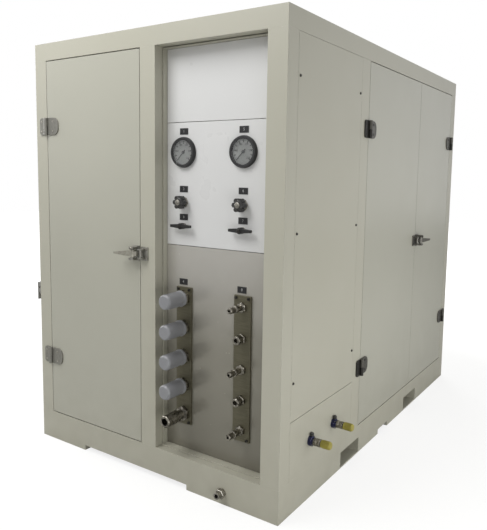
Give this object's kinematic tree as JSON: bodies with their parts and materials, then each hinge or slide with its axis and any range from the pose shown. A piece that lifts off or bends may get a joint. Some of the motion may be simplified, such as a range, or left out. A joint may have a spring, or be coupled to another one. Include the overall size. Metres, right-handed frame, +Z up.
{
  "type": "enclosed hydraulic power unit",
  "caption": "Floor-standing sheet steel cabinet around an oil tank, pump and cooler, with service doors, gauges, valves and hose couplings in a front recess.",
  "frame": {"origin": "centre of the footprint on the floor", "axes": "+Z up, -Y out of the front with the coupling recess, +X out of the side with the double doors"},
  "size_m": [1.437, 2.0665, 1.8],
  "materials": {
    "cabinet_paint": "satin powder coat, pebble grey",
    "door_paint": "smooth glossy powder coat, pebble grey",
    "plate_white": "satin white-grey sheet",
    "label_black": "engraved two-colour laminate",
    "screw_black": "black oxide steel",
    "hinge_grey": "die-cast zinc, matt",
    "latch_grey": "cast zinc, dull chrome",
    "gauge_black": "black steel case",
    "gauge_glass": "clear flat glass",
    "pointer_black": "black lacquered aluminium",
    "knob_dark": "dark cast metal",
    "lever_black": "black powder coat",
    "valve_steel": "zinc plated steel",
    "bar_steel": "dark phosphated steel",
    "coupling_steel": "zinc-nickel plated steel",
    "cap_clear": "translucent polyethylene",
    "side_coupling_blue": "blue anodised aluminium",
    "cap_yellow": "yellow polyethylene",
    "knob_black": "black nylon",
    "inlet_grey": "light grey polyamide",
    "tank_paint": "grey primer enamel",
    "cap_breather": "black nylon",
    "filter_paint": "cast aluminium",
    "motor_blue": "blue-grey enamel",
    "pump_iron": "dark grey cast iron",
    "coupling_hub": "turned aluminium",
    "cooler_alu": "aluminium bar and plate",
    "fan_black": "glass-filled nylon",
    "control_paint": "light grey powder coat",
    "pipe_black": "hydraulic hose cover"
  },
  "bodies": {
    "cabinet": {"base_frame": "cabinet_paint", "upright_frame": "cabinet_paint", "roof_panel": "cabinet_paint", "recess_surround": "cabinet_paint", "header_plate": "plate_white", "gauge_plate": "plate_white", "coupling_plate": "plate_white", "label_plates": "label_black", "right_upper_panel": "cabinet_paint", "right_lower_panel": "cabinet_paint", "left_panel": "cabinet_paint", "rear_panel": "cabinet_paint", "panel_screws": "screw_black", "hinge_fixed_halves": "hinge_grey", "front_latch_keeper": "latch_grey", "gauge_cases": "gauge_black", "gauge_lenses": "gauge_glass", "valve_bonnets": "valve_steel", "coupling_bars": "bar_steel", "large_couplings": "coupling_steel", "small_couplings": "coupling_steel", "side_couplings": "side_coupling_blue", "drain_outlet": "valve_steel", "power_inlet": "inlet_grey", "oil_tank": "tank_paint", "return_filter": "filter_paint", "electric_motor": "motor_blue", "hydraulic_pump": "pump_iron", "oil_cooler": "cooler_alu", "control_box": "control_paint", "pipework": "pipe_black"},
    "front_door": {"front_door": "door_paint", "front_door_hinges": "hinge_grey", "front_latch_body": "latch_grey"},
    "front_latch_lever": {"front_latch_handle": "latch_grey"},
    "side_door_front": {"side_door_front": "door_paint", "side_door_front_hinges": "hinge_grey", "side_latch_keeper": "latch_grey"},
    "side_door_rear": {"side_door_rear": "door_paint", "side_door_rear_hinges": "hinge_grey", "side_latch_body": "latch_grey"},
    "side_latch_lever": {"side_latch_handle": "latch_grey"},
    "pointer_left": {"pointer_left": "pointer_black"},
    "pointer_right": {"pointer_right": "pointer_black"},
    "flow_knob_left": {"flow_knob_left": "knob_dark"},
    "flow_knob_right": {"flow_knob_right": "knob_dark"},
    "valve_lever_left": {"valve_lever_left": "lever_black"},
    "valve_lever_right": {"valve_lever_right": "lever_black"},
    "dust_cap_1": {"dust_cap_1": "cap_clear"},
    "dust_cap_2": {"dust_cap_2": "cap_clear"},
    "dust_cap_3": {"dust_cap_3": "cap_clear"},
    "dust_cap_4": {"dust_cap_4": "cap_clear"},
    "side_cap_front": {"side_cap_front": "cap_yellow"},
    "side_cap_rear": {"side_cap_rear": "cap_yellow"},
    "side_knob_front": {"side_knob_front": "knob_black"},
    "side_knob_rear": {"side_knob_rear": "knob_black"},
    "inlet_lid": {"inlet_lid": "inlet_grey"},
    "filler_cap": {"filler_cap": "cap_breather"},
    "drive_coupling": {"drive_coupling": "coupling_hub"},
    "cooler_fan": {"cooler_fan": "fan_black"}
  },
  "joints": [
    {"name": "front_door_hinge", "type": "hinge", "parent": "cabinet", "child": "front_door", "pos_m": [-0.5765, -1.009, 0.92], "axis": [0, 0, -1], "range_deg": [0, 110]},
    {"name": "side_door_front_hinge", "type": "hinge", "parent": "cabinet", "child": "side_door_front", "pos_m": [0.659, -0.3105, 0.92], "axis": [0, 0, -1], "range_deg": [0, 110]},
    {"name": "side_door_rear_hinge", "type": "hinge", "parent": "cabinet", "child": "side_door_rear", "pos_m": [0.659, 0.9245, 0.92], "axis": [0, 0, 1], "range_deg": [0, 110]},
    {"name": "front_latch_turn", "type": "hinge", "parent": "front_door", "child": "front_latch_lever", "pos_m": [-0.035, -1.024, 0.924], "axis": [0, 0, 1], "range_deg": [0, 35]},
    {"name": "side_latch_turn", "type": "hinge", "parent": "side_door_rear", "child": "side_latch_lever", "pos_m": [0.674, 0.386, 0.912], "axis": [0, 0, -1], "range_deg": [0, 35]},
    {"name": "gauge_left_pointer", "type": "hinge", "parent": "cabinet", "child": "pointer_left", "pos_m": [0.157, -0.935, 1.325], "axis": [0, 1, 0], "range_deg": [0, 270]},
    {"name": "gauge_right_pointer", "type": "hinge", "parent": "cabinet", "child": "pointer_right", "pos_m": [0.437, -0.935, 1.325], "axis": [0, 1, 0], "range_deg": [0, 270]},
    {"name": "flow_valve_left", "type": "hinge", "parent": "cabinet", "child": "flow_knob_left", "pos_m": [0.157, -0.935, 1.133], "axis": [0, 1, 0], "range_deg": [0, 720]},
    {"name": "flow_valve_right", "type": "hinge", "parent": "cabinet", "child": "flow_knob_right", "pos_m": [0.437, -0.935, 1.133], "axis": [0, 1, 0], "range_deg": [0, 720]},
    {"name": "ball_valve_left", "type": "hinge", "parent": "cabinet", "child": "valve_lever_left", "pos_m": [0.157, -0.935, 1.04], "axis": [0, 1, 0], "range_deg": [0, 90]},
    {"name": "ball_valve_right", "type": "hinge", "parent": "cabinet", "child": "valve_lever_right", "pos_m": [0.437, -0.935, 1.04], "axis": [0, 1, 0], "range_deg": [0, 90]},
    {"name": "dust_cap_1_pull", "type": "slide", "parent": "cabinet", "child": "dust_cap_1", "axis": [0, -1, 0], "range_m": [0, 0.11]},
    {"name": "dust_cap_2_pull", "type": "slide", "parent": "cabinet", "child": "dust_cap_2", "axis": [0, -1, 0], "range_m": [0, 0.11]},
    {"name": "dust_cap_3_pull", "type": "slide", "parent": "cabinet", "child": "dust_cap_3", "axis": [0, -1, 0], "range_m": [0, 0.11]},
    {"name": "dust_cap_4_pull", "type": "slide", "parent": "cabinet", "child": "dust_cap_4", "axis": [0, -1, 0], "range_m": [0, 0.11]},
    {"name": "side_cap_front_pull", "type": "slide", "parent": "cabinet", "child": "side_cap_front", "axis": [1, 0, 0], "range_m": [0, 0.05]},
    {"name": "side_cap_rear_pull", "type": "slide", "parent": "cabinet", "child": "side_cap_rear", "axis": [1, 0, 0], "range_m": [0, 0.05]},
    {"name": "side_knob_front_turn", "type": "hinge", "parent": "cabinet", "child": "side_knob_front", "pos_m": [0.659, -0.772, 0.235], "axis": [0, 0, 1], "range_deg": [0, 90]},
    {"name": "side_knob_rear_turn", "type": "hinge", "parent": "cabinet", "child": "side_knob_rear", "pos_m": [0.659, -0.572, 0.235], "axis": [0, 0, 1], "range_deg": [0, 90]},
    {"name": "inlet_lid_hinge", "type": "hinge", "parent": "cabinet", "child": "inlet_lid", "pos_m": [-0.684, -0.956, 0.722], "axis": [0, 1, 0], "range_deg": [0, 100], "stiffness_Nm_per_rad": 0.05},
    {"name": "filler_cap_lift", "type": "slide", "parent": "cabinet", "child": "filler_cap", "axis": [0, 0, 1], "range_m": [0, 0.08]},
    {"name": "pump_shaft", "type": "hinge", "parent": "cabinet", "child": "drive_coupling", "pos_m": [0.34, 0, 0.39], "axis": [0, 1, 0], "continuous": true},
    {"name": "fan_shaft", "type": "hinge", "parent": "cabinet", "child": "cooler_fan", "pos_m": [0.32, 0.88, 1.12], "axis": [0, 1, 0], "continuous": true}
  ]
}
